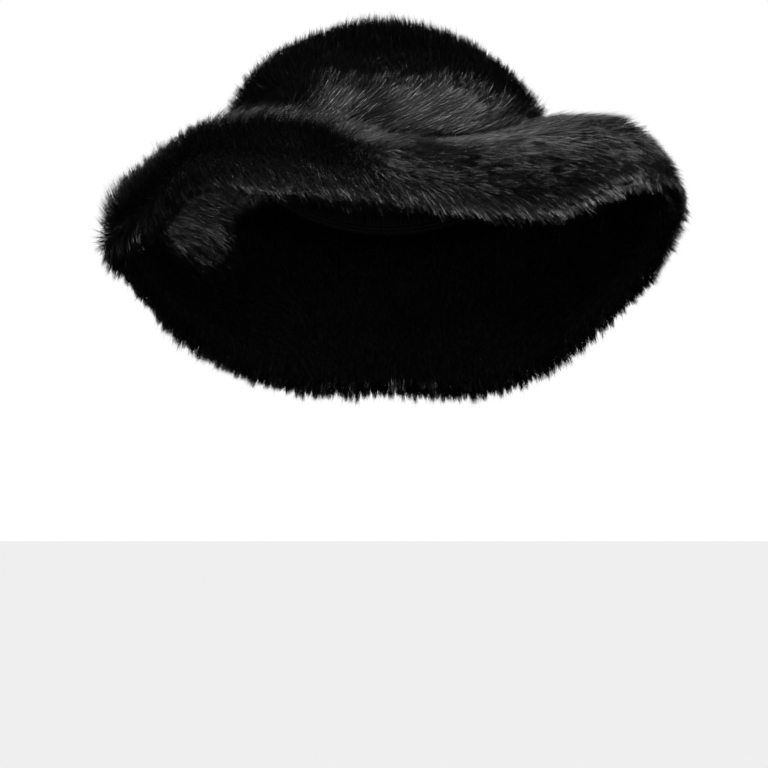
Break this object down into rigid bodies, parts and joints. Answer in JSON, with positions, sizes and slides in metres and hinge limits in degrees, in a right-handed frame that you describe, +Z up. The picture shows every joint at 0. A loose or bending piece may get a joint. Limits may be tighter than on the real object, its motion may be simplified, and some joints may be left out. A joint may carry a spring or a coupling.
{
  "type": "wide-brim fur hat",
  "caption": "Deep-fur hat with a rounded crown and a wide floppy brim, humped at the sides and hanging low behind, shown as worn.",
  "frame": {"origin": "middle of the head opening, where a head holds the hat", "axes": "+X to the wearer's left, -Y the way the wearer looks, +Z up; the hat is tipped back by 8 degrees as worn"},
  "size_m": [0.391, 0.3755, 0.248],
  "materials": {
    "fur": "deep glossy pile"
  },
  "bodies": {
    "root": {"crown": "fur", "brim_upper": "fur", "brim_under": "fur"}
  },
  "joints": []
}
